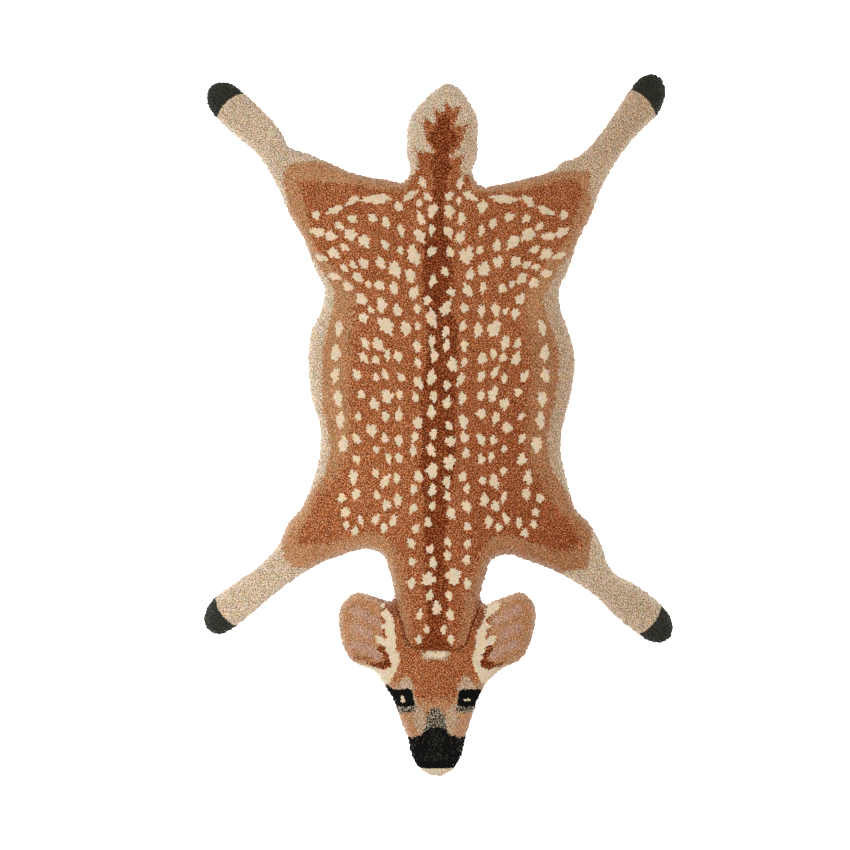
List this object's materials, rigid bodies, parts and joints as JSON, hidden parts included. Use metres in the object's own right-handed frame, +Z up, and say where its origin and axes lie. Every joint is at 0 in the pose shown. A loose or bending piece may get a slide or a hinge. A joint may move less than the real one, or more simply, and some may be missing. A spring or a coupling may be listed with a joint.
{
  "type": "animal shaped kids rug",
  "caption": "Flat tufted floor rug for a child's room in the shape of a spotted fawn's pelt: legs, tail, ears and head in cut wool pile.",
  "frame": {"origin": "middle of the rug's bounding box, on the floor under its backing", "axes": "+Y towards the tail, -Y towards the head, +X to the right seen from above with the tail up, +Z up out of the pile"},
  "size_m": [0.6018, 0.902, 0.014],
  "materials": {
    "wool_pile": "matte cut wool pile"
  },
  "bodies": {
    "root": {"fawn_rug": "wool_pile"}
  },
  "joints": []
}
